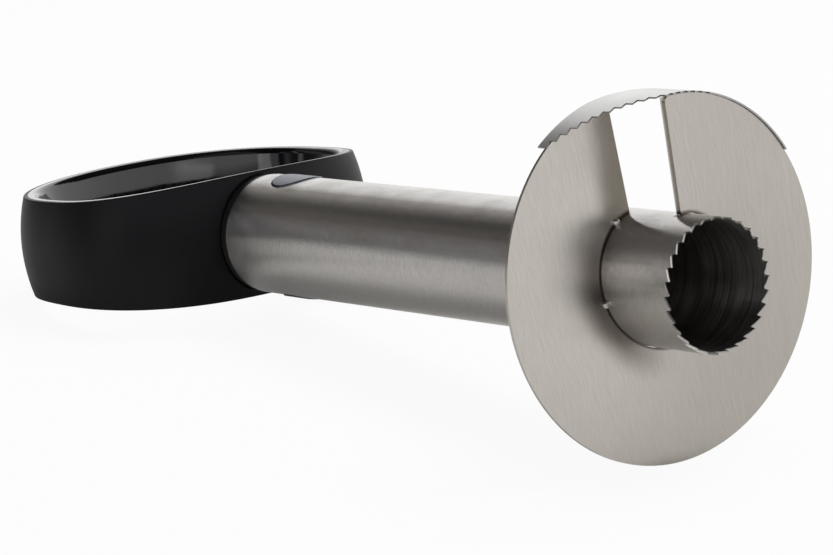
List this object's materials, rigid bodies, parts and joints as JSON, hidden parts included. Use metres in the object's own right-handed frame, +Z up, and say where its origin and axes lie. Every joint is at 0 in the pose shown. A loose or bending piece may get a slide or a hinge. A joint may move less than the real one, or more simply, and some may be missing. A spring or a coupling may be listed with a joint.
{
  "type": "pineapple corer",
  "caption": "Hand pineapple corer and slicer: toothed steel core tube, one-turn spiral blade with a serrated rim strip, and a looped oval handle released by two spring buttons.",
  "frame": {"origin": "middle of the resting part's footprint, on the table it lies on", "axes": "+X along the core tube from the handle to the teeth, seen from above; +Z up; +Y to the left of +X; the tube rises towards the teeth because the spiral blade holds that end up"},
  "size_m": [0.2502, 0.0978, 0.0889],
  "materials": {
    "brushed_tube": "brushed",
    "blade_steel": "brushed",
    "weld_steel": "satin",
    "soft_grip": "matte",
    "gloss_black": "gloss",
    "black_rubber": "matte",
    "matte_black": "matte",
    "satin_button": "satin",
    "spring_steel": "satin"
  },
  "bodies": {
    "corer": {"core_tube": "brushed_tube", "spiral_blade": "blade_steel", "rim_blade": "blade_steel", "root_welds": "weld_steel", "rim_welds": "weld_steel", "grip_shell": "soft_grip", "handle_core": "gloss_black", "collar_ring": "black_rubber", "stem_cap": "matte_black", "spring_top": "spring_steel", "spring_bottom": "spring_steel"},
    "upper_button": {"button_top": "satin_button"},
    "lower_button": {"button_bottom": "satin_button"}
  },
  "joints": [
    {"name": "upper_button_press", "type": "slide", "parent": "corer", "child": "upper_button", "axis": [0.1257, 0, -0.9921], "range_m": [0, 0.0028], "stiffness_N_per_m": 400, "springref_m": -0.004, "deforming": ["spring_top"]},
    {"name": "lower_button_press", "type": "slide", "parent": "corer", "child": "lower_button", "axis": [-0.1257, 0, 0.9921], "range_m": [0, 0.0028], "stiffness_N_per_m": 400, "springref_m": -0.004, "deforming": ["spring_bottom"]}
  ]
}
